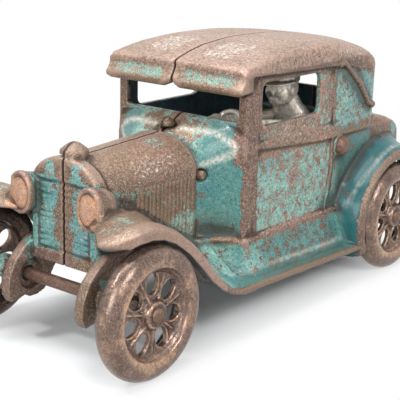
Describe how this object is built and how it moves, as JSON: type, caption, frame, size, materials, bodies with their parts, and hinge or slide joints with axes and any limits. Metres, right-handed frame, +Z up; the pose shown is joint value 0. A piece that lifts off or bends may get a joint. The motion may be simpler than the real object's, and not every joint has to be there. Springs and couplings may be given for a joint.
{
  "type": "cast iron toy car",
  "caption": "Cast iron toy coupe with a driver at the wheel, riveted body halves, running boards, fenders and loose rolling wheels.",
  "frame": {"origin": "on the ground under the middle of the car's bounding box", "axes": "+Z up, the radiator faces -Y, the car's left side faces +X"},
  "size_m": [0.0904, 0.2053, 0.1015],
  "materials": {
    "body_paint": "worn teal paint over rust-brown cast iron",
    "wheel_iron": "bare rust-brown cast iron, rubbed at the tyre",
    "axle_steel": "dull steel rod with peened ends, brown with age",
    "driver_nickel": "worn nickel plate on cast iron"
  },
  "bodies": {
    "body": {"body_left_half": "body_paint", "body_right_half": "body_paint", "driver": "driver_nickel", "front_body_rivet": "axle_steel", "rear_body_rivet": "axle_steel"},
    "front_axle": {"front_axle": "axle_steel"},
    "rear_axle": {"rear_axle": "axle_steel"},
    "wheel_front_left": {"wheel_front_left": "wheel_iron"},
    "wheel_front_right": {"wheel_front_right": "wheel_iron"},
    "wheel_rear_left": {"wheel_rear_left": "wheel_iron"},
    "wheel_rear_right": {"wheel_rear_right": "wheel_iron"}
  },
  "joints": [
    {"name": "front_axle_spin", "type": "hinge", "parent": "body", "child": "front_axle", "pos_m": [0, -0.0796, 0.02325], "axis": [1, 0, 0], "continuous": true},
    {"name": "rear_axle_spin", "type": "hinge", "parent": "body", "child": "rear_axle", "pos_m": [0, 0.0764, 0.02325], "axis": [1, 0, 0], "continuous": true},
    {"name": "front_left_wheel_spin", "type": "hinge", "parent": "front_axle", "child": "wheel_front_left", "pos_m": [0.0393, -0.0796, 0.02325], "axis": [1, 0, 0], "continuous": true},
    {"name": "front_right_wheel_spin", "type": "hinge", "parent": "front_axle", "child": "wheel_front_right", "pos_m": [-0.0393, -0.0796, 0.02325], "axis": [1, 0, 0], "continuous": true},
    {"name": "rear_left_wheel_spin", "type": "hinge", "parent": "rear_axle", "child": "wheel_rear_left", "pos_m": [0.0393, 0.0764, 0.02325], "axis": [1, 0, 0], "continuous": true},
    {"name": "rear_right_wheel_spin", "type": "hinge", "parent": "rear_axle", "child": "wheel_rear_right", "pos_m": [-0.0393, 0.0764, 0.02325], "axis": [1, 0, 0], "continuous": true}
  ]
}
